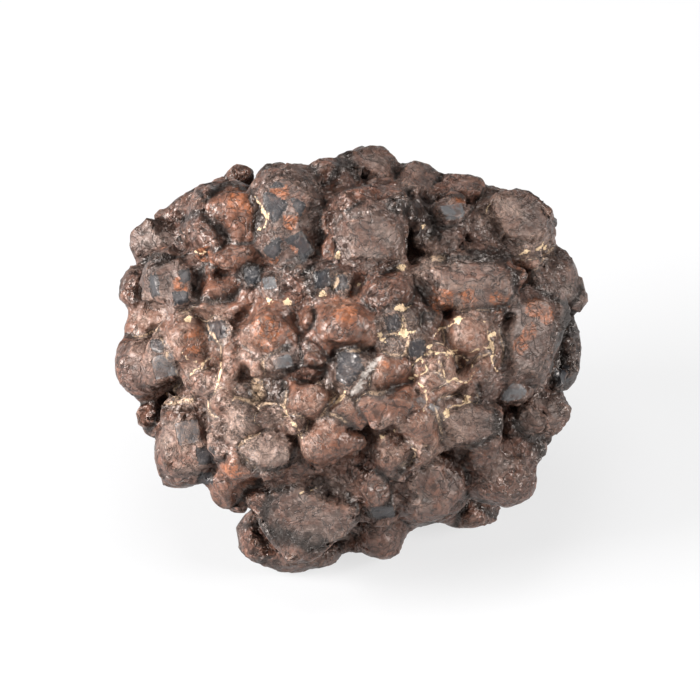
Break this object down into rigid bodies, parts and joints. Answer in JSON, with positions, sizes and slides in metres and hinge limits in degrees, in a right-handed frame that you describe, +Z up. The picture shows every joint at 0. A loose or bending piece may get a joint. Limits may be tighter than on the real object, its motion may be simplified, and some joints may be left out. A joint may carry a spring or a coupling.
{
  "type": "prophecy stone",
  "caption": "Fist-sized nodule of dark brown iron oxide, a fused cluster of rounded knobs, blocks and flat crystal faces with deep crevices, standing on its lower knobs.",
  "frame": {"origin": "under the middle of the stone, on the surface that it stands on", "axes": "+Z up, +X along the stone's longest side, -Y towards the side that the show face looks to"},
  "size_m": [0.0848, 0.0688, 0.0701],
  "materials": {
    "iron_oxide": "satin dark brown with rust, grey crystal faces and cream veins in the crevices"
  },
  "bodies": {
    "root": {"stone": "iron_oxide"}
  },
  "joints": []
}
